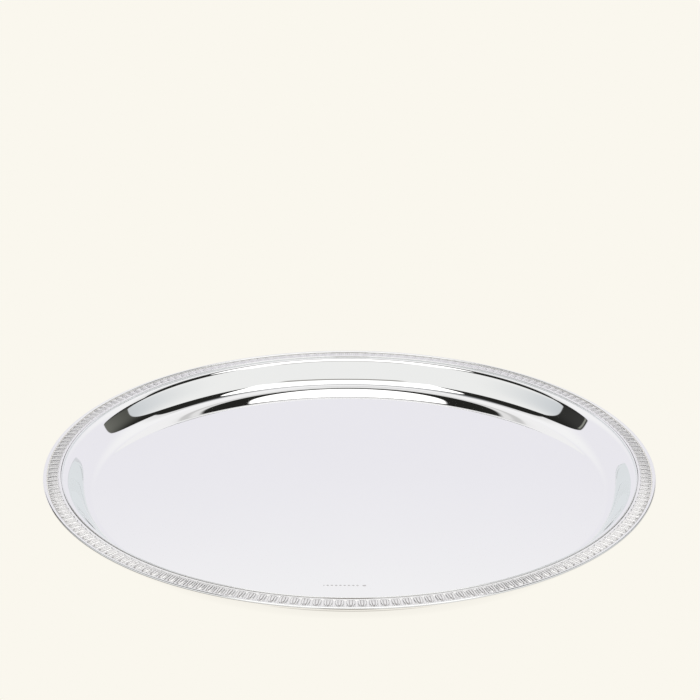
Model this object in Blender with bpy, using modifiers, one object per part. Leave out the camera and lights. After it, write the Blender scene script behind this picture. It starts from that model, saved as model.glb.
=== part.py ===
"""A round silver-plated serving tray with a leaf-and-dart border.

The tray is pressed from one disc of sheet: a flat floor, a curved wall, a rounded shoulder and a flat
flange. A die-struck border in four quarter lengths is soldered onto the flange. A thin plain wire stands
along the border's inner edge, and a heavier oval wire covers its outer edge and the flange's.

Frame: metres, +Z up. The origin is the centre of the tray's underside, which lies on the table, so the
whole tray stands at z >= 0. The middle of the front border length faces -Y.
"""

from math import asin, cos, pi, radians, sin

import bmesh
import bpy

MM = 0.001

# Driving dimensions of the pressed body
TRAY_RADIUS = 200.0 * MM  # to the outside of the edge wire
SHEET = 1.2 * MM
FLANGE_DEPTH = 16.6 * MM  # from the flange's inner edge down to the floor's top
SHOULDER_RADIUS = 187.2 * MM  # where the flange rounds over into the wall
SHOULDER_ARC = 6.0 * MM  # along the sheet's top face, from the flange down to the steepest place
WALL_SLOPE = radians(55.0)  # of the steepest place, from the horizontal
SHOULDER_EASE = 1.8  # how early the shoulder reaches that slope; 1 is a plain arc
FLOOR_EASE = 3.7  # how late the wall turns into the floor; 1 is a plain arc

# Driving dimensions of the rim, measured along the radius
FLANGE_RADIUS = 197.1 * MM
FLANGE_FALL = 0.45 * MM  # from the flange's inner edge to its outer edge
JOINT = 0.3 * MM  # room for solder between two pieces
INNER_WIRE_RADIUS = 187.85 * MM  # to the middle of the wire
INNER_WIRE_WIDTH = 1.1 * MM
INNER_WIRE_HEIGHT = 0.8 * MM
EDGE_WIRE_WIDTH = 2.6 * MM
EDGE_WIRE_HEIGHT = 2.0 * MM
EDGE_WIRE_RISE = 1.1 * MM  # of the wire's middle above the middle of the flange's edge

# Driving dimensions of the border
LENGTH_NAMES = ("front", "right", "back", "left")
LEAVES = 192  # round the whole rim
BORDER_TURN = radians(-0.6)  # of the whole border about +Z
INNER_MARGIN = 1.5 * MM  # plain margins along both edges
OUTER_MARGIN = 0.6 * MM
MARGIN_THICKNESS = 0.4 * MM
LEAF_RISE = 0.3 * MM  # of a leaf's crown above the margins
DART_DROP = 0.25 * MM  # of the groove between two leaves below the margins

# How finely the shapes are divided
RING_STEPS = 96
BEND_STEPS = 7
COLUMNS_PER_LEAF = 2


# Helpers


def add_mesh(name, collection):
    """A new, empty mesh object."""
    obj = bpy.data.objects.new(name, bpy.data.meshes.new(name))
    collection.objects.link(obj)
    return obj


def turned_ring(name, profile, closed, collection):
    """The solid swept by a profile of (radius, height) points about Z. It runs down its outer side."""
    obj = add_mesh(name, collection)
    bm = bmesh.new()
    points = [bm.verts.new((radius, 0.0, height)) for radius, height in profile]
    for start, end in zip(points, points[1:]):
        bm.edges.new((start, end))
    if closed:
        bm.edges.new((points[-1], points[0]))
    bm.to_mesh(obj.data)
    bm.free()
    screw = obj.modifiers.new("turn", "SCREW")
    screw.axis = "Z"
    screw.steps = RING_STEPS
    screw.render_steps = RING_STEPS
    screw.use_merge_vertices = True
    screw.merge_threshold = 0.00001
    screw.use_smooth_shade = True
    return obj


def silver(name, tint, roughness):
    """A plated silver material of its own for one piece."""
    material = bpy.data.materials.new(name)
    material.use_nodes = True
    shader = material.node_tree.nodes["Principled BSDF"]
    shader.inputs["Base Color"].default_value = (*tint, 1.0)
    shader.inputs["Metallic"].default_value = 1.0
    shader.inputs["Roughness"].default_value = roughness
    return material


# The pressed body


def flange_top(radius):
    """The height of the flange's top face at a radius."""
    way_out = (radius - SHOULDER_RADIUS) / (FLANGE_RADIUS - SHOULDER_RADIUS)
    return SHEET + FLANGE_DEPTH - FLANGE_FALL * way_out


def shoulder_slope(way):
    """Slope at a way of 0 to 1 from the flange down to the steepest place."""
    return WALL_SLOPE * (1 - (1 - way) ** SHOULDER_EASE)


def floor_slope(way):
    """Slope at a way of 0 to 1 from the steepest place down to the floor."""
    return WALL_SLOPE * (1 - way**FLOOR_EASE)


def sheet_section():
    """(radius, height, slope) of stations along the sheet's top face, from the flange's edge to the axis."""
    middles = [(step + 0.5) / BEND_STEPS for step in range(BEND_STEPS)]
    shoulder_step = SHOULDER_ARC / BEND_STEPS
    shoulder_drop = shoulder_step * sum(sin(shoulder_slope(way)) for way in middles)
    floor_step = (FLANGE_DEPTH - shoulder_drop) / sum(sin(floor_slope(way)) for way in middles)

    radius, height = SHOULDER_RADIUS, flange_top(SHOULDER_RADIUS)
    stations = [(FLANGE_RADIUS, flange_top(FLANGE_RADIUS), 0.0), (radius, height, 0.0)]
    for slope_at, length in ((shoulder_slope, shoulder_step), (floor_slope, floor_step)):
        for way in middles:
            radius -= length * cos(slope_at(way))
            height -= length * sin(slope_at(way))
            stations.append((radius, height, slope_at(way + 0.5 / BEND_STEPS)))
    stations.append((0.0, height, 0.0))
    return stations


def make_tray_body(collection):
    top = sheet_section()
    profile = [(radius, height) for radius, height, _ in reversed(top)]
    for radius, height, slope in top:
        profile.append((radius + SHEET * sin(slope), height - SHEET * cos(slope)))
    body = turned_ring("tray_body", profile, False, collection)
    body.data.materials.append(silver("body_silver", (0.88, 0.87, 0.86), 0.05))
    return body


# The two wires


def make_inner_fillet_wire(collection):
    """A half-round wire, flat side down, along the border's inner edge."""
    base = flange_top(INNER_WIRE_RADIUS - INNER_WIRE_WIDTH / 2) + JOINT
    corners = 4
    profile = []
    for step in range(corners + 1):
        turn = pi * step / corners
        radius = INNER_WIRE_RADIUS - INNER_WIRE_WIDTH / 2 * cos(turn)
        profile.append((radius, base + INNER_WIRE_HEIGHT * sin(turn)))
    wire = turned_ring("inner_fillet_wire", profile, True, collection)
    wire.data.materials.append(silver("fillet_silver", (0.86, 0.85, 0.83), 0.12))
    return wire


def make_outer_edge_wire(collection):
    """An oval wire round the raw edges of the flange and the border."""
    middle_radius = TRAY_RADIUS - EDGE_WIRE_WIDTH / 2
    middle_height = flange_top(FLANGE_RADIUS) - SHEET / 2 + EDGE_WIRE_RISE
    corners = 10
    profile = []
    for step in range(corners):
        turn = 2 * pi * step / corners
        radius = middle_radius + EDGE_WIRE_WIDTH / 2 * cos(turn)
        profile.append((radius, middle_height - EDGE_WIRE_HEIGHT / 2 * sin(turn)))
    wire = turned_ring("outer_edge_wire", profile, True, collection)
    wire.data.materials.append(silver("edge_silver", (0.88, 0.87, 0.86), 0.08))
    return wire


# The border


def border_section(crown):
    """The border's section as (radius, height) points. crown is 1 at a leaf's rib and 0 between leaves."""
    inner = INNER_WIRE_RADIUS + INNER_WIRE_WIDTH / 2 + JOINT
    outer = TRAY_RADIUS - EDGE_WIRE_WIDTH - JOINT
    relief = MARGIN_THICKNESS - DART_DROP + (LEAF_RISE + DART_DROP) * crown
    thickness = {
        inner: MARGIN_THICKNESS,
        inner + INNER_MARGIN: MARGIN_THICKNESS,
        (inner + outer) / 2: relief,
        outer - OUTER_MARGIN: relief,
        outer: MARGIN_THICKNESS,
    }
    top = [(radius, flange_top(radius) + JOINT + depth) for radius, depth in thickness.items()]
    return [(inner, flange_top(inner) + JOINT), *top, (outer, flange_top(outer) + JOINT)]


def make_border_length(name, middle, collection):
    """A quarter of the border, its middle at the angle middle from -Y, lofted leaf by leaf."""
    leaves = LEAVES // len(LENGTH_NAMES)
    columns = leaves * COLUMNS_PER_LEAF
    butt = asin(JOINT / 2 / FLANGE_RADIUS)
    span = 2 * pi / len(LENGTH_NAMES) - 2 * butt
    bm = bmesh.new()
    sections = []
    for column in range(columns + 1):
        angle = middle + span * (column / columns - 0.5) - pi / 2
        crown = (1 - cos(2 * pi * column / COLUMNS_PER_LEAF)) / 2
        points = [(r * cos(angle), r * sin(angle), z) for r, z in border_section(crown)]
        sections.append([bm.verts.new(point) for point in points])
    for left, right in zip(sections, sections[1:]):
        for corner in range(len(left)):
            after = (corner + 1) % len(left)
            bm.faces.new((left[corner], right[corner], right[after], left[after]))
    bm.faces.new(sections[0])
    bm.faces.new(reversed(sections[-1]))
    bmesh.ops.recalc_face_normals(bm, faces=bm.faces)
    length = add_mesh(name, collection)
    bm.to_mesh(length.data)
    bm.free()
    length.data.shade_smooth()
    length.data.set_sharp_from_angle(angle=radians(35))
    length.data.materials.append(silver(name + "_silver", (0.80, 0.79, 0.77), 0.2))
    return length


def make_border(collection):
    quarter = 2 * pi / len(LENGTH_NAMES)
    for place, side in enumerate(LENGTH_NAMES):
        make_border_length("leaf_border_" + side, place * quarter + BORDER_TURN, collection)


def main():
    for obj in list(bpy.data.objects):
        bpy.data.objects.remove(obj)
    collection = bpy.data.collections.new("serving_tray")
    bpy.context.scene.collection.children.link(collection)
    make_tray_body(collection)
    make_border(collection)
    make_inner_fillet_wire(collection)
    make_outer_edge_wire(collection)


main()
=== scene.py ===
"""The looks of a round silver-plated serving tray with a die-struck leaf-and-dart border.

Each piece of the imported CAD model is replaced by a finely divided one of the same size, in polished,
struck or drawn silver. A light tent round the tray is what the silver mirrors. It is seen only in
reflections. The tent's pattern suits the main camera; from other places it is only plausible.
"""

from math import atan2, cos, pi, radians, sin

import bpy
import numpy as np
from mathutils import Matrix, Vector


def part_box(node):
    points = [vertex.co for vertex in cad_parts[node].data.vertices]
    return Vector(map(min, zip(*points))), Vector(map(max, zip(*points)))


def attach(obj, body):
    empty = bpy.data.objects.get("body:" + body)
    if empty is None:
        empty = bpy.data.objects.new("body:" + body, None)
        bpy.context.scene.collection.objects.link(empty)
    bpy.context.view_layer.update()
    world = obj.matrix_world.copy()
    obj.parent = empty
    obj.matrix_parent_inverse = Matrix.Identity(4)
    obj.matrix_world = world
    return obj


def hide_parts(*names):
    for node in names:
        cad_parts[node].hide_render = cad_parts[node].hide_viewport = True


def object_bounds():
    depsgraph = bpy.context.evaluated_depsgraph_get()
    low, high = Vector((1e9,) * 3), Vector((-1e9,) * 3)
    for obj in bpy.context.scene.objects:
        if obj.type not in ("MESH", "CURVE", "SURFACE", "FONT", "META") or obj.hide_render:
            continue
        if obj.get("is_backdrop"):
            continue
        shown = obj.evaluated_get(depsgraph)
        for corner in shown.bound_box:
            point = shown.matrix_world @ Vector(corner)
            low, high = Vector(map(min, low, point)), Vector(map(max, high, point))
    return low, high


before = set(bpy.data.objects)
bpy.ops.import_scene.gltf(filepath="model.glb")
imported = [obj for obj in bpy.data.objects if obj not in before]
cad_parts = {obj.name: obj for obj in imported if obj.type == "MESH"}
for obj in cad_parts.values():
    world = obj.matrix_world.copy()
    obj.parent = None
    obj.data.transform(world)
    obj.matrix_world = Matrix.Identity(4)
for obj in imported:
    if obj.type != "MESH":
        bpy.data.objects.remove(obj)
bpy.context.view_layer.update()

MM = 0.001
BODY = "root"

# The pressed sheet's section, as in the CAD model
SHEET = 1.2 * MM
SHOULDER_RADIUS = 187.2 * MM
SHOULDER_ARC = 6.0 * MM
WALL_SLOPE = radians(55.0)
SHOULDER_EASE = 1.8
FLOOR_EASE = 3.7

# The border
LEAVES = 192
BORDER_TURN = radians(-0.6)
JOINT = 0.3 * MM  # between the flange and the border
SOLDER_SEAM = 0.02 * MM  # left open under the thin wire's solder
GROUND = 0.12 * MM  # thickness of the strip at the bottom of the relief
MARGIN_RISE = 0.28 * MM  # of the plain inner margin above the ground
MARGIN_WIDTH = 1.5 * MM
MARGIN_LINE = 0.12 * MM  # from the margin's outer edge in to the fine line along it
MARGIN_LINE_HALF = 0.10 * MM
MARGIN_LINE_DEPTH = 0.06 * MM

# One leaf, with a cut groove inside its outline, a rib along its middle, and a dart on either side
LEAF_SHOULDER = 1.6 * MM  # along the leaf, where its sides start to round in
LEAF_TIP = 7.1 * MM
CUT_ACROSS = 0.92 * MM  # from the rib to the cut
CUT_SHOULDER = 0.4 * MM  # along the leaf, where the cut starts to round in
CUT_TIP = 6.7 * MM
CUT_HALF = 0.24 * MM
RIB_HALF = 0.20 * MM
DART_FOOT = 0.8 * MM  # from the middle of a dart to the groove at its foot
DART_HALF = 0.42 * MM
FOOT_HALF = 0.17 * MM
HOLLOW_HALF = 0.5 * MM  # of the shaded hollow at the leaf's heel
SOFT_EDGE = 0.05 * MM  # how far outside its outline the leaf starts to rise
CROWN_REACH = 0.35 * MM  # how far inside its outline the leaf is at its full height
RELIEF = 0.8  # millimetres in one unit of the heights and depths below
LEAF_HEIGHT = 0.40
CUT_DEPTH = 0.34
RIB_HEIGHT = 0.06
DART_HEIGHT = 0.26
FOOT_DEPTH = 0.10

# How dark the painted shade and patina are in each recess, from 0 to 1
CUT_SHADE_AND_PATINA = 0.62
FOOT_SHADE_AND_PATINA = 0.42
TIP_SHADE_AND_PATINA = 0.15
HOLLOW_SHADE_AND_PATINA = 0.15
LINE_SHADE_AND_PATINA = 0.2

# How finely the shapes are divided
BODY_STEPS = 512
TOP_BEND_STEPS = 40
UNDERSIDE_BEND_STEPS = 18
FLANGE_WAYS = (0.9, 0.6, 0.3, 0.1, 0.03, 0.0)  # of the flange's rings, as parts of its width
FLOOR_SHARES = (0.998, 0.99, 0.96, 0.88, 0.7, 0.4, 0.15)  # of the floor's rings, as parts of its radius
RING_STEPS = 768
EDGE_WIRE_CORNERS = 40
FILLET_WIRE_CORNERS = 25
LEAF_COLUMNS = 40
MARGIN_ROWS = 8
LEAF_ROWS = 38
SHARP = radians(60)


# What the CAD says


def ring_of(node):
    """(inner radius, outer radius, lowest, highest) of a CAD node, in metres."""
    co = np.array([v.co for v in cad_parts[node].data.vertices])
    radius = np.hypot(co[:, 0], co[:, 1])
    return radius.min(), radius.max(), co[:, 2].min(), co[:, 2].max()


# Mesh helpers


def mesh_piece(name, points, faces, material, node):
    """A smooth-shaded mesh object that rides on the tray and stands for one CAD node."""
    mesh = bpy.data.meshes.new(name)
    mesh.from_pydata(points, [], faces)
    mesh.validate()
    mesh.shade_smooth()
    mesh.set_sharp_from_angle(angle=SHARP)
    mesh.materials.append(material)
    piece = bpy.data.objects.new(name, mesh)
    bpy.context.scene.collection.objects.link(piece)
    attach(piece, BODY)
    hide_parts(node)
    return piece


def grid_faces(rings, corners, wrap_rings, wrap_corners):
    """Quads between consecutive rings of corners, as an array of vertex numbers."""
    ring = np.arange(rings if wrap_rings else rings - 1)
    corner = np.arange(corners if wrap_corners else corners - 1)
    a, b = np.meshgrid(ring, corner, indexing="ij")
    a, b = a.ravel(), b.ravel()
    after_a, after_b = (a + 1) % rings, (b + 1) % corners
    quads = [a * corners + b, after_a * corners + b, after_a * corners + after_b, a * corners + after_b]
    return np.stack(quads, axis=1)


def turned(section, steps):
    """Points and quads of a closed (radius, height) section swept round Z. It runs down its outer side."""
    section = np.array(section)
    angle = np.linspace(0, 2 * pi, steps, endpoint=False)
    radius = section[None, :, 0]
    x = radius * np.cos(angle)[:, None]
    y = radius * np.sin(angle)[:, None]
    z = np.broadcast_to(section[None, :, 1], x.shape)
    points = np.stack([x, y, z], axis=-1).reshape(-1, 3)
    return points, grid_faces(steps, len(section), True, True)


# Shader helpers


class Shader:
    """Short calls for adding nodes to a material's or a world's node tree."""

    def __init__(self, tree, keep=False):
        self.tree = tree
        if not keep:
            tree.nodes.clear()

    def add(self, kind, settings=None, **inputs):
        node = self.tree.nodes.new("ShaderNode" + kind)
        for name, value in (settings or {}).items():
            setattr(node, name, value)
        for name, value in inputs.items():
            self.put(node, name.replace("_", " "), value)
        return node

    def put(self, node, name, value):
        socket = node.inputs[int(name)] if name.isdigit() else node.inputs[name]
        if isinstance(value, bpy.types.NodeSocket):
            self.tree.links.new(value, socket)
        elif value is not None:
            socket.default_value = value

    def math(self, operation, *values):
        node = self.tree.nodes.new("ShaderNodeMath")
        node.operation = operation
        for place, value in enumerate(values):
            self.put(node, str(place), value)
        return node.outputs[0]

    def step(self, value, edge, softness):
        """0 below the edge and 1 above it, with a smooth rise over twice the softness."""
        node = self.add("MapRange", {"interpolation_type": "SMOOTHSTEP"}, Value=value)
        node.inputs["From Min"].default_value = edge - softness
        node.inputs["From Max"].default_value = edge + softness
        return node.outputs[0]

    def between(self, value, low, high, softness):
        rise = self.step(value, low, softness)
        fall = self.step(value, high, softness)
        return self.math("SUBTRACT", rise, fall)

    def mix(self, amount, below, above):
        """A colour between two others."""
        node = self.add("Mix", {"data_type": "RGBA"})
        self.put(node, "0", amount)
        self.put(node, "6", below)
        self.put(node, "7", above)
        return node.outputs[2]

    def noise(self, place, scale, detail=2.0):
        node = self.add("TexNoise", Vector=place, Scale=scale, Detail=detail)
        return node.outputs["Fac"]


def display(red, green, blue, gain=1.0):
    """The linear colour that a screen shows as these 0 to 255 levels, times a gain."""
    levels = [gain * ((level / 255 + 0.055) / 1.055) ** 2.4 for level in (red, green, blue)]
    return (*levels, 1.0)


# Silver

# Tarnish colour, also used as painted shade in crevices and recesses
TARNISH_AND_SHADE = (0.16, 0.13, 0.11, 1.0)
CREVICE_REACH = 0.4 * MM
CLOUD_SCALE = 14.0  # of the clouds in the polish, per metre
DULL_TINT = 0.985  # of the tint, where the polish is dull
RUBBING_SCALE = 2600.0  # of the fine rubbing marks, per metre
RUBBING_DEPTH = 0.01 * MM
SHADE_AND_PATINA_SCALE = 90.0  # of the unevenness of the painted shade and patina, per metre
SHADE_AND_PATINA_ROUGHNESS = 0.3


def polished(name, tint, roughness, scratches, crevice=0.0, has_shade_and_patina=False):
    """Silver plate with a cloudy polish and fine rubbing marks.

    crevice is how strongly it darkens close to other surfaces: painted crevice shade, with tarnish. A piece
    with painted shade and patina also has a vertex attribute that says how dark its recesses are.
    """
    material = bpy.data.materials.new(name)
    material.use_nodes = True
    shader = Shader(material.node_tree)
    place = shader.add("TexCoord").outputs["Object"]
    cloud = shader.noise(place, CLOUD_SCALE, 3.0)
    marks = shader.noise(place, RUBBING_SCALE, 4.0)

    colour = shader.mix(cloud, tuple(DULL_TINT * level for level in tint) + (1.0,), tint + (1.0,))
    rough = shader.math("MULTIPLY_ADD", cloud, 0.5 * roughness, 0.75 * roughness)
    if crevice:
        # painted shade: ambient occlusion darkens the colour close to other surfaces, standing for crevice
        # shade and tarnish
        openness = shader.add("AmbientOcclusion", {"samples": 8}, Distance=CREVICE_REACH).outputs["AO"]
        closeness = shader.math("MULTIPLY_ADD", openness, -1.0, 1.0)
        colour = shader.mix(shader.math("MULTIPLY", closeness, crevice), colour, TARNISH_AND_SHADE)
    if has_shade_and_patina:
        # painted shade and patina in the recesses, read from the vertex attribute
        shade_and_patina = shader.add("Attribute", {"attribute_name": "shade_and_patina"}).outputs["Fac"]
        uneven = shader.math("MULTIPLY_ADD", shader.noise(place, SHADE_AND_PATINA_SCALE), 0.5, 0.7)
        shade_and_patina = shader.math("MULTIPLY", shade_and_patina, uneven)
        colour = shader.mix(shade_and_patina, colour, TARNISH_AND_SHADE)
        rough = shader.math("MULTIPLY_ADD", shade_and_patina, SHADE_AND_PATINA_ROUGHNESS, rough)
    bump = shader.add("Bump", Strength=scratches, Distance=RUBBING_DEPTH, Height=marks)
    metal = shader.add("BsdfPrincipled", Metallic=1.0, Roughness=rough, Normal=bump.outputs[0])
    shader.put(metal, "Base Color", colour)
    output = shader.add("OutputMaterial")
    shader.put(output, "Surface", metal.outputs[0])
    return material


MARK_RADIUS = 142 * MM  # where the mark is, towards the front
MARK_START = -15 * MM  # of its row of lozenges, to the right of the middle
MARK_END = 6.25 * MM
LOZENGE_SPACING = 2.5 * MM
LOZENGE_HALF = 0.95 * MM
DISC_OFFSET = 9.0 * MM
DISC_RADIUS = 1.1 * MM
MARK_SOFTNESS = 0.15 * MM
MARK_DEPTH = 0.2 * MM
# how dark the punched mark is painted, as recess shade and tarnish
MARK_SHADE_AND_TARNISH = 0.45


def stamp_mark(material):
    """Add a plain punched mark to the floor's silver: a row of small lozenges and a disc."""
    shader = Shader(material.node_tree, keep=True)
    split = shader.add("SeparateXYZ")
    shader.put(split, "0", shader.add("TexCoord").outputs["Object"])
    right, back, up = split.outputs
    from_row = shader.math("ABSOLUTE", shader.math("ADD", back, MARK_RADIUS))
    in_cell = shader.math("PINGPONG", right, LOZENGE_SPACING / 2)
    lozenge = shader.math("SUBTRACT", LOZENGE_HALF, shader.math("ADD", in_cell, from_row))
    in_row = shader.between(right, MARK_START, MARK_END, 0.1 * MM)
    row = shader.math("MULTIPLY", shader.step(lozenge, 0.0, MARK_SOFTNESS), in_row)
    from_disc = shader.math("SUBTRACT", right, DISC_OFFSET)
    right_squared = shader.math("MULTIPLY", from_disc, from_disc)
    back_squared = shader.math("MULTIPLY", from_row, from_row)
    from_disc = shader.math("SQRT", shader.math("ADD", right_squared, back_squared))
    disc = shader.step(shader.math("SUBTRACT", DISC_RADIUS, from_disc), 0.0, MARK_SOFTNESS)
    on_top = shader.step(up, 0.7 * SHEET, 0.2 * SHEET)
    mark = shader.math("MULTIPLY", shader.math("MAXIMUM", row, disc), on_top)

    metal = material.node_tree.nodes["Principled BSDF"]
    plain = metal.inputs["Base Color"].links[0].from_socket
    # painted recess shade and tarnish inside the punched mark
    mark_shade_and_tarnish = shader.math("MULTIPLY", mark, MARK_SHADE_AND_TARNISH)
    shader.put(metal, "Base Color", shader.mix(mark_shade_and_tarnish, plain, TARNISH_AND_SHADE))
    smooth = metal.inputs["Normal"].links[0].from_socket
    punched = shader.add("Bump", Strength=0.5, Distance=MARK_DEPTH, Normal=smooth)
    shader.put(punched, "Height", shader.math("MULTIPLY", mark, -1.0))
    shader.put(metal, "Normal", punched.outputs[0])


# The pressed body


def shoulder_slope(way):
    """Slope at a way of 0 to 1 from the flange down to the steepest place."""
    return WALL_SLOPE * (1 - (1 - way) ** SHOULDER_EASE)


def floor_slope(way):
    """Slope at a way of 0 to 1 from the steepest place down to the floor."""
    return WALL_SLOPE * (1 - way**FLOOR_EASE)


def flange():
    """(outer radius, height of its inner edge, height of its outer edge) of the flange's top face."""
    co = np.array([v.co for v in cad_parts["tray_body"].data.vertices])
    radius = np.hypot(co[:, 0], co[:, 1])
    rim = radius > radius.max() - 0.1 * MM
    return radius.max(), co[:, 2].max(), co[rim, 2].max()


def flange_top(radius):
    """Height of the flange's top face at a radius."""
    outer, inner_height, outer_height = flange()
    way_out = (radius - SHOULDER_RADIUS) / (outer - SHOULDER_RADIUS)
    return inner_height + way_out * (outer_height - inner_height)


def sheet_stations(bend_steps):
    """(radius, height, slope) along the sheet's top face, from the flange's edge to the floor's middle."""
    flange_radius, shoulder_height, flange_edge = flange()
    middles = (np.arange(bend_steps) + 0.5) / bend_steps
    shoulder_step = SHOULDER_ARC / bend_steps
    shoulder_drop = shoulder_step * np.sin(shoulder_slope(middles)).sum()
    floor_step = (shoulder_height - SHEET - shoulder_drop) / np.sin(floor_slope(middles)).sum()

    stations = [(flange_radius, flange_edge, 0.0)]
    for way in FLANGE_WAYS:
        radius = SHOULDER_RADIUS + way * (flange_radius - SHOULDER_RADIUS)
        stations.append((radius, flange_top(radius), 0.0))
    radius, height = SHOULDER_RADIUS, shoulder_height
    for slope_at, length in ((shoulder_slope, shoulder_step), (floor_slope, floor_step)):
        for way in middles:
            radius -= length * cos(slope_at(way))
            height -= length * sin(slope_at(way))
            stations.append((radius, height, slope_at(way + 0.5 / bend_steps)))
    for share in FLOOR_SHARES:
        stations.append((radius * share, SHEET, 0.0))
    return stations


def make_body(material):
    section = [(radius, height) for radius, height, _ in reversed(sheet_stations(TOP_BEND_STEPS))]
    for radius, height, slope in sheet_stations(UNDERSIDE_BEND_STEPS):
        section.append((radius + SHEET * sin(slope), height - SHEET * cos(slope)))
    points, faces = turned(section, BODY_STEPS)
    faces = close_middle(faces, len(section))
    return mesh_piece("polished_body", points, faces, material, "tray_body")


def close_middle(faces, corners):
    """The body's faces, with the strip through the axis swapped for a disc above and a disc below."""
    through_axis = (faces[:, 0] % corners) == corners - 1
    above = [ring * corners for ring in range(BODY_STEPS)]
    below = [ring * corners + corners - 1 for ring in range(BODY_STEPS)]
    return faces[~through_axis].tolist() + [above, below[::-1]]


# The wires


def make_edge_wire(material):
    inner, outer, low, high = ring_of("outer_edge_wire")
    section = []
    for turn in np.linspace(0, 2 * pi, EDGE_WIRE_CORNERS, endpoint=False):
        radius = (inner + outer) / 2 + (outer - inner) / 2 * cos(turn)
        section.append((radius, (low + high) / 2 - (high - low) / 2 * sin(turn)))
    points, faces = turned(section, RING_STEPS)
    return mesh_piece("edge_wire", points, faces.tolist(), material, "outer_edge_wire")


def make_fillet_wire(material):
    """The thin wire, with its solder filling the joint down to the flange."""
    inner, outer, low, high = ring_of("inner_fillet_wire")
    section = [(inner, flange_top(inner) + SOLDER_SEAM)]
    for turn in np.linspace(0, pi, FILLET_WIRE_CORNERS):
        radius = (inner + outer) / 2 - (outer - inner) / 2 * cos(turn)
        section.append((radius, low + (high - low) * sin(turn)))
    section.append((outer, flange_top(outer) + SOLDER_SEAM))
    points, faces = turned(section, RING_STEPS)
    return mesh_piece("fillet_wire", points, faces.tolist(), material, "inner_fillet_wire")


# The border


def smooth_rise(value, low, high):
    way = np.clip((value - low) / (high - low), 0, 1)
    return way * way * (3 - 2 * way)


def ridge(distance, width):
    """A rounded ridge of height 1 and about that half width."""
    return np.exp(-((distance / width) ** 2))


def inside_tongue(across, along, half_width, start, tip):
    """About how far inside a tongue's outline a point is. It is negative outside.

    The tongue's sides are parallel as far as start and then round in to its tip.
    """
    side = np.abs(across) / half_width
    length = np.maximum(along - start, 0.0) / (tip - start)
    steepness = 2 * np.hypot(side / half_width, length / (tip - start))
    return (1 - side**2 - length**2) / np.maximum(steepness, 1 / half_width)


def leaf_relief(across, along, pitch):
    """(height above the ground, depth of painted shade and patina from 0 to 1) of the struck leaves and
    darts.

    across is measured from a leaf's rib and along from the leaves' heels out to their tips, in metres.
    """
    gap = pitch / 2 - np.abs(across)
    leaf = inside_tongue(across, along, pitch / 2 - DART_FOOT, LEAF_SHOULDER, LEAF_TIP)
    groove = inside_tongue(across, along, CUT_ACROSS, CUT_SHOULDER, CUT_TIP)
    on_leaf = smooth_rise(leaf, -SOFT_EDGE, CROWN_REACH)
    heel = smooth_rise(along, -SOFT_EDGE, CROWN_REACH)
    cut = ridge(groove, CUT_HALF) * smooth_rise(along, 0.05 * MM, 0.4 * MM)
    rib = ridge(across, RIB_HALF) * smooth_rise(groove, 0.1 * MM, 0.4 * MM)
    dart = ridge(gap, DART_HALF) * smooth_rise(along, 0.2 * MM, 0.7 * MM)
    foot = ridge(gap - DART_FOOT, FOOT_HALF) * smooth_rise(along, 0.2 * MM, 0.8 * MM)
    height = LEAF_HEIGHT * on_leaf * (0.5 + 0.5 * heel) - CUT_DEPTH * cut * on_leaf
    height = height + RIB_HEIGHT * rib + DART_HEIGHT * dart - FOOT_DEPTH * foot

    # painted shade and patina: in the cut grooves, at the feet of the darts, between the tips and in the
    # hollow at each heel
    between_tips = smooth_rise(along, 6.0 * MM, 6.6 * MM) * (1 - on_leaf)
    hollow = ridge(across, HOLLOW_HALF) * (1 - smooth_rise(along, 1.5 * MM, 3.5 * MM))
    shade_and_patina = CUT_SHADE_AND_PATINA * cut * on_leaf + FOOT_SHADE_AND_PATINA * foot
    shade_and_patina = shade_and_patina + TIP_SHADE_AND_PATINA * between_tips + HOLLOW_SHADE_AND_PATINA * hollow
    return RELIEF * height * MM, np.clip(shade_and_patina, 0, 1)


def border_relief(across, out, pitch):
    """(height above the ground, painted shade and patina) from the plain inner margin out to the leaves'
    tips.
    """
    along = out - MARGIN_WIDTH
    height, shade_and_patina = leaf_relief(across, along, pitch)
    line = ridge(along + MARGIN_LINE, MARGIN_LINE_HALF)
    on_margin = 1 - smooth_rise(along, -0.08 * MM, 0.08 * MM)
    height = on_margin * (MARGIN_RISE - MARGIN_LINE_DEPTH * line) + (1 - on_margin) * height
    shade_and_patina = on_margin * LINE_SHADE_AND_PATINA * line + (1 - on_margin) * shade_and_patina
    return height, shade_and_patina


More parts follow.
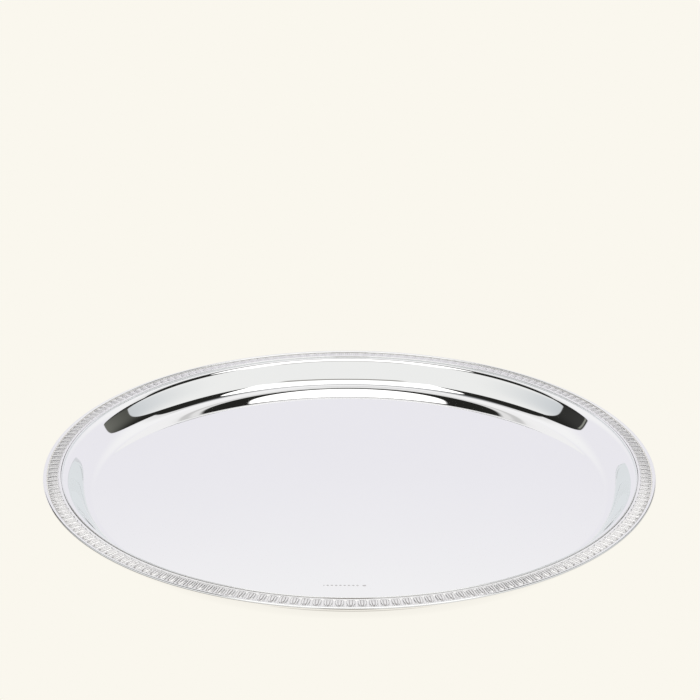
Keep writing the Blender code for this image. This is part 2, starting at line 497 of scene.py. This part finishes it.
def make_border_length(side, material):
    """One quarter of the border, as a closed strip with the relief on its top face."""
    node = "leaf_border_" + side
    inner, outer, _, _ = ring_of(node)
    low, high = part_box(node)
    middle = (low + high) / 2
    quarter = round(atan2(middle.x, -middle.y) / (pi / 2))
    leaves = LEAVES // 4
    number = np.arange(leaves * LEAF_COLUMNS + 1) / LEAF_COLUMNS
    angle = (quarter - 1) * pi / 2 + BORDER_TURN + (number - leaves / 2) * 2 * pi / LEAVES

    margin = np.linspace(0, MARGIN_WIDTH, MARGIN_ROWS, endpoint=False)
    out = np.append(margin, np.linspace(MARGIN_WIDTH, outer - inner, LEAF_ROWS + 1))
    radius = np.concatenate([[inner], inner + out, [outer]])
    pitch = 2 * pi / LEAVES * (inner + outer) / 2
    across = (number % 1.0 - 0.5) * pitch
    across_grid, out_grid = np.meshgrid(across, out, indexing="ij")
    relief, shade_and_patina = border_relief(across_grid, out_grid, pitch)

    shape = (len(angle), len(radius))
    base = flange_top(radius) + JOINT
    height = np.tile(base, (shape[0], 1))
    height[:, 1:-1] += GROUND + relief
    x = radius[None, :] * np.cos(angle)[:, None]
    y = radius[None, :] * np.sin(angle)[:, None]
    points = np.stack([x, y, height], axis=-1).reshape(-1, 3)
    faces = grid_faces(*shape, False, True)[:, ::-1].tolist()
    faces.append(list(range(shape[1])))
    faces.append([shape[0] * shape[1] - 1 - corner for corner in range(shape[1])])
    piece = mesh_piece("struck_border_" + side, points, faces, material, node)
    depth = np.zeros(shape)
    depth[:, 0] = 1.0  # painted shade on the edge that faces the thin wire
    depth[:, 1:-1] = shade_and_patina
    attribute = piece.data.attributes.new("shade_and_patina", "FLOAT", "POINT")
    attribute.data.foreach_set("value", depth.ravel())
    return piece


# The studio
#
# The tent is a dome of soft light round the tray. Its pattern is laid out as on a flat ceiling: across is
# how far right of the zenith a place is and away how far towards the back, both over its height. side is
# across without its sign. turn is the angle round the tray from the front, positive to the right. A height
# is a part of the dome's radius.

TENT_RADIUS = 0.84
CEILING_SHIFT = 0.04  # of the overhead softbox to the right
LOWEST_LAID_OUT = 0.02  # height below which the ceiling's pattern no longer spreads
OVERHEAD = 0.5  # height above which the softbox and the dim strip are
FLOOR_MIRRORS = (1.8 * SHEET, 0.5 * SHEET)  # how high a mirror may lie to count as the floor, and softness

# The softbox overhead
SOFTBOX_NEAR = -0.12
SOFTBOX_FAR = 0.10  # where its far corners start to round off
SOFTBOX_ROUNDING = 0.33
SOFTBOX_HALF = 0.42
STRIP_NEAR = -0.25  # the dim strip in front of it
STRIP_FAR = -0.18
STRIP_HALF = 0.3

# The grey cards in front
CARD_START = -0.04  # away of their back edge at the softbox's corners
CARD_SLANT = 0.97
CARD_BEND = 1.1  # side from which the left card's edge runs flatter
CARD_BEND_SLANT = 0.48
CARD_DARKENING = (1.3, 0.45)  # side and softness of the change towards the darker ends
CARD_LOW = (0.34, 0.2)  # height and softness of the change towards the darker foot
RIGHT_FROM = (0.45, 0.15)  # turn and softness where the right card starts
LEFT_BETWEEN = (-1.15, -0.35, 0.25)  # turns of the left card, and their softness
CAMERA_TURNS = (-0.15, 0.15, 0.03)
CAMERA_HEIGHTS = (0.14, 0.66, 0.03)

# The white sweep behind
SWEEP_START = 0.53  # away of its front edge in the middle
SWEEP_MIDDLE_SLANT = 0.6
SWEEP_MIDDLE = 0.2  # side as far as that slant
SWEEP_TURN = 0.83  # side from which the edge turns back
SWEEP_SLANT = 1.05
SWEEP_SLANT_RIGHT = 0.40  # more on the right
SWEEP_BEND = 1.7  # side from which it turns back less
SWEEP_BEND_SLANT = -0.26
SWEEP_BRIGHTENING = (0.51, 0.15)  # height and softness of the change towards its brighter top
SWEEP_HIGH_UP = (0.6, 0.1)  # height and softness above which its edge is greyer
SWEEP_GREY = (0.16, 0.12)  # how far behind the edge it is a little greyer, and the softness
SWEEP_LINE = (0.07, 0.15, 0.025)  # a faint line behind the edge
SWEEP_LINE_HALF = 0.3
RING_HEIGHT = 0.025  # of the ring at the sweep's foot
RING_HEIGHT_RIGHT = 0.045  # more on the right

# The dark gaps between the cards and the sweep
LOWEST_GAP = 0.25  # height of their low ends
GAP_PALING = (1.72, 0.62)  # side and softness of the change towards their paler ends
GAP_RIM_FROM = 1.68  # side from which the left one has a paler line inside its edge
GAP_RIM_DEPTHS = (0.05, 0.10, 0.015)  # of that line in front of the sweep's edge

# The tent's colours
SWEEP_LOW = display(236.5, 235.5, 241.5)
SWEEP_HIGH = display(247, 247, 248)
SWEEP_EDGE = display(232, 232, 232)
EDGE_LINE = display(206, 206, 206)
LOW_RING = display(213, 215, 219)
FRONT_CARD = display(240, 241, 240)
SIDE_CARD = display(200, 205, 209)
GAP_DARK = display(36, 36, 34)
GAP_PALE = display(124, 125, 118)
GAP_LEFT = display(66, 66, 65)
GAP_RIM = display(140, 142, 134)
GAP_IN_FLOOR = display(196, 199, 203)
DIM_STRIP = display(128, 124, 120)
SOFTBOX = display(255, 255, 254, 1.5)
MIRRORED_TWICE = display(226, 231, 234)
LOW_FRONT = display(150, 145, 138)
LOW_RIGHT = display(204, 203, 200)
LOW_LEFT = display(126, 119, 111)
CAMERA_DARK = display(104, 94, 84)
CREAM = display(250, 247, 238)
SHADE = display(204, 200, 191)


class Tent(Shader):
    """The light tent's material. It works out where each place of the dome lies, and then paints it."""

    def __init__(self, tree):
        super().__init__(tree)
        geometry = self.add("NewGeometry")
        right, back, up = self.parts(geometry.outputs["Position"])
        self.height = self.math("DIVIDE", up, TENT_RADIUS)
        above = self.math("MAXIMUM", up, LOWEST_LAID_OUT * TENT_RADIUS)
        self.across = self.math("SUBTRACT", self.math("DIVIDE", right, above), CEILING_SHIFT)
        self.away = self.math("DIVIDE", back, above)
        self.side = self.math("ABSOLUTE", self.across)
        self.on_right = self.step(self.across, 0.0, 0.1)
        self.turn = self.math("ARCTAN2", right, self.math("MULTIPLY", back, -1.0))

        path = self.add("LightPath")
        self.twice = self.step(path.outputs["Ray Depth"], 1.5, 0.1)  # 1 after two or more reflections
        climb = self.parts(geometry.outputs["Incoming"])[2]
        mirror_height = self.math("MULTIPLY_ADD", climb, path.outputs["Ray Length"], up)
        low_mirror = self.invert(self.step(mirror_height, *FLOOR_MIRRORS))
        self.from_floor = self.times(low_mirror, self.invert(self.twice))  # 1 where the flat floor sees it

    def parts(self, vector):
        """The three components of a vector."""
        split = self.add("SeparateXYZ")
        self.put(split, "0", vector)
        return split.outputs

    def beyond(self, value, edge):
        """How far a value is past an edge, and 0 before it."""
        return self.math("MAXIMUM", self.math("SUBTRACT", value, edge), 0.0)

    def invert(self, value):
        return self.math("SUBTRACT", 1.0, value)

    def times(self, *values):
        product = values[0]
        for value in values[1:]:
            product = self.math("MULTIPLY", product, value)
        return product

    def card_edge(self):
        """away of the grey cards' back edge, which runs outwards from the softbox's corners."""
        outwards = self.math("SUBTRACT", self.side, SOFTBOX_HALF)
        edge = self.math("MULTIPLY_ADD", outwards, CARD_SLANT, CARD_START)
        flatter = self.times(self.beyond(self.side, CARD_BEND), self.invert(self.on_right), CARD_BEND_SLANT)
        return self.math("MAXIMUM", self.math("SUBTRACT", edge, flatter), SOFTBOX_NEAR)

    def sweep_edge(self):
        """away of the front edge of the white sweep behind, which turns back past the softbox's width.

        Far out to the sides it turns back less.
        """
        slant = self.math("MULTIPLY_ADD", self.on_right, SWEEP_SLANT_RIGHT, SWEEP_SLANT)
        near_middle = self.math("MINIMUM", self.side, SWEEP_MIDDLE)
        middle = self.math("MULTIPLY_ADD", near_middle, SWEEP_MIDDLE_SLANT, SWEEP_START)
        turned_back = self.math("MULTIPLY_ADD", self.beyond(self.side, SWEEP_TURN), slant, middle)
        return self.math("MULTIPLY_ADD", self.beyond(self.side, SWEEP_BEND), SWEEP_BEND_SLANT, turned_back)

    def past(self, edge, softness):
        """1 where away is past an edge that is itself worked out by nodes."""
        return self.step(self.math("SUBTRACT", self.away, edge), 0.0, softness)

    def sweep(self):
        """The white sweep behind, a little greyer close to its front edge and bluer low down."""
        colour = self.mix(self.step(self.height, *SWEEP_BRIGHTENING), SWEEP_LOW, SWEEP_HIGH)
        behind_edge = self.math("SUBTRACT", self.away, self.sweep_edge())
        high_up = self.step(self.height, *SWEEP_HIGH_UP)
        near_edge = self.times(self.invert(self.step(behind_edge, *SWEEP_GREY)), high_up)
        colour = self.mix(near_edge, colour, SWEEP_EDGE)
        in_middle = self.invert(self.step(self.side, SWEEP_LINE_HALF, 0.06))
        line = self.times(self.between(behind_edge, *SWEEP_LINE), high_up, in_middle)
        colour = self.mix(line, colour, EDGE_LINE)
        ring_top = self.math("MULTIPLY_ADD", self.on_right, RING_HEIGHT_RIGHT, RING_HEIGHT)
        above_ring = self.step(self.math("SUBTRACT", self.height, ring_top), 0.0, 0.004)
        return self.mix(above_ring, LOW_RING, colour)

    def gap_colours(self, colour):
        """The dark room seen between the cards and the sweep, over what is already painted."""
        depth = self.math("SUBTRACT", self.sweep_edge(), self.away)
        in_gap = self.times(self.step(depth, 0.0, 0.02), self.step(self.height, LOWEST_GAP, 0.008))
        between = self.math("MULTIPLY", self.past(self.card_edge(), 0.02), in_gap)
        pale = self.step(self.side, *GAP_PALING)
        on_left = self.mix(pale, GAP_DARK, GAP_LEFT)
        on_right = self.mix(pale, GAP_DARK, GAP_PALE)
        dark = self.mix(self.on_right, on_left, on_right)
        far_left = self.times(self.step(self.side, GAP_RIM_FROM, 0.06), self.invert(self.on_right))
        rim = self.math("MULTIPLY", self.between(depth, *GAP_RIM_DEPTHS), far_left)
        dark = self.mix(rim, dark, GAP_RIM)
        return self.mix(between, colour, self.mix(self.from_floor, dark, GAP_IN_FLOOR))

    def cards(self):
        """The grey cards in front, darker out to the sides and low down, and the dark camera."""
        cards = self.mix(self.step(self.side, *CARD_DARKENING), FRONT_CARD, SIDE_CARD)
        low = self.mix(self.step(self.turn, *RIGHT_FROM), LOW_FRONT, LOW_RIGHT)
        low = self.mix(self.between(self.turn, *LEFT_BETWEEN), low, LOW_LEFT)
        low = self.mix(self.from_floor, low, SIDE_CARD)
        cards = self.mix(self.step(self.height, *CARD_LOW), low, cards)
        across_camera = self.between(self.turn, *CAMERA_TURNS)
        camera = self.times(across_camera, self.between(self.height, *CAMERA_HEIGHTS))
        return self.mix(camera, cards, CAMERA_DARK)

    def softbox(self):
        """The bright softbox overhead, with its far corners rounded off."""
        far = self.math("DIVIDE", self.beyond(self.away, SOFTBOX_FAR), SOFTBOX_ROUNDING)
        wide = self.math("DIVIDE", self.side, SOFTBOX_HALF)
        reach = self.math("ADD", self.math("POWER", far, 2.0), self.math("POWER", wide, 3.5))
        inside = self.invert(self.step(reach, 1.0, 0.04))
        box = self.times(inside, self.step(self.away, SOFTBOX_NEAR, 0.012))
        return self.times(box, self.step(self.height, OVERHEAD, 0.05))

    def paint(self):
        colour = self.gap_colours(self.sweep())
        colour = self.mix(self.invert(self.past(self.card_edge(), 0.012)), colour, self.cards())
        strip = self.between(self.away, STRIP_NEAR, STRIP_FAR, 0.025)
        in_middle = self.invert(self.step(self.side, STRIP_HALF, 0.04))
        strip = self.times(strip, in_middle, self.step(self.height, OVERHEAD, 0.05))
        colour = self.mix(strip, colour, DIM_STRIP)
        colour = self.mix(self.softbox(), colour, SOFTBOX)
        low = self.invert(self.step(self.height, OVERHEAD, 0.03))
        return self.mix(self.times(self.twice, low), colour, MIRRORED_TWICE)


def make_tent():
    """A dome that reflections see, and the camera doesn't."""
    bpy.ops.mesh.primitive_uv_sphere_add(segments=128, ring_count=64, radius=TENT_RADIUS)
    tent = bpy.context.object
    tent.name = "light_tent"
    material = bpy.data.materials.new("light_tent")
    material.use_nodes = True
    shader = Tent(material.node_tree)
    glow = shader.add("Emission", Color=shader.paint(), Strength=1.0)
    output = shader.add("OutputMaterial")
    shader.put(output, "Surface", glow.outputs[0])
    tent.data.materials.append(material)
    tent.data.shade_smooth()
    tent.visible_camera = False
    tent.visible_shadow = False
    tent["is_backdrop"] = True


MIRRORED_SHADE_REACH = 15.0 * MM  # of the shade under the tray, as its silver mirrors it
CONTACT_REACH = 5.0 * MM  # and as the camera sees it
CONTACT_SHADE = 0.16  # how strong the camera sees it


def make_table():
    """A plain pale table top, faintly shaded where the tray stands. The silver mirrors a deeper shade."""
    bpy.ops.mesh.primitive_plane_add(size=40.0)
    table = bpy.context.object
    table.name = "pale_table"
    material = bpy.data.materials.new("pale_table")
    material.use_nodes = True
    shader = Shader(material.node_tree)
    openness = shader.add("AmbientOcclusion", {"samples": 16}, Distance=MIRRORED_SHADE_REACH).outputs["AO"]
    contact = shader.add("AmbientOcclusion", {"samples": 16}, Distance=CONTACT_REACH).outputs["AO"]
    seen = shader.math("MULTIPLY_ADD", contact, CONTACT_SHADE, 1 - CONTACT_SHADE)
    seen = shader.mix(seen, SHADE, CREAM)
    mirrored = shader.mix(openness, SHADE, CREAM)
    direct = shader.add("LightPath").outputs["Is Camera Ray"]
    glow = shader.add("Emission", Color=shader.mix(direct, mirrored, seen), Strength=1.0)
    output = shader.add("OutputMaterial")
    shader.put(output, "Surface", glow.outputs[0])
    table.data.materials.append(material)
    table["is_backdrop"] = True


def make_world():
    """The same pale cream as the table, so that no horizon shows."""
    world = bpy.data.worlds.new("studio")
    bpy.context.scene.world = world
    world.use_nodes = True
    shader = Shader(world.node_tree)
    background = shader.add("Background", Color=CREAM, Strength=1.0)
    output = shader.add("OutputWorld")
    shader.put(output, "Surface", background.outputs[0])


# The camera

CAMERA_ELEVATION = radians(24.453)
CAMERA_DISTANCE = 5.625  # in tray radii, from the middle of the rim's plane
CAMERA_PITCH = radians(3.630)
CAMERA_ROLL = radians(0.252)
CAMERA_LENS = 87.33
SENSOR = 36.0


def make_camera():
    low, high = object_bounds()
    radius = (high[0] - low[0]) / 2
    centre = Vector((0, 0, high[2]))
    distance = CAMERA_DISTANCE * radius
    offset = Vector((0, -distance * cos(CAMERA_ELEVATION), distance * sin(CAMERA_ELEVATION)))
    tilt = CAMERA_ELEVATION - CAMERA_PITCH
    forward = Vector((0, cos(tilt), -sin(tilt)))
    right = Vector((1, 0, 0))
    up = right.cross(forward)
    rolled_right = right * cos(CAMERA_ROLL) + up * sin(CAMERA_ROLL)
    rolled_up = up * cos(CAMERA_ROLL) - right * sin(CAMERA_ROLL)
    data = bpy.data.cameras.new("camera")
    data.lens = CAMERA_LENS
    data.sensor_width = SENSOR
    camera = bpy.data.objects.new("camera", data)
    turn = Matrix((rolled_right, rolled_up, -forward)).transposed().to_4x4()
    camera.matrix_world = Matrix.Translation(centre + offset) @ turn
    bpy.context.scene.collection.objects.link(camera)
    bpy.context.scene.camera = camera


def main():
    body_silver = polished("body_silver", (0.965, 0.962, 0.960), roughness=0.02, scratches=0.006)
    stamp_mark(body_silver)
    struck_silver = polished("struck_silver", (0.95, 0.94, 0.93), roughness=0.18, scratches=0.15,
                             crevice=0.08, has_shade_and_patina=True)
    drawn_silver = polished("drawn_silver", (0.955, 0.95, 0.945), roughness=0.09, scratches=0.08,
                            crevice=0.12)
    make_body(body_silver)
    make_edge_wire(drawn_silver)
    make_fillet_wire(drawn_silver)
    for side in ("front", "right", "back", "left"):
        make_border_length(side, struck_silver)
    make_tent()
    make_table()
    make_world()
    make_camera()
    bpy.context.scene.view_settings.view_transform = "Standard"


main()
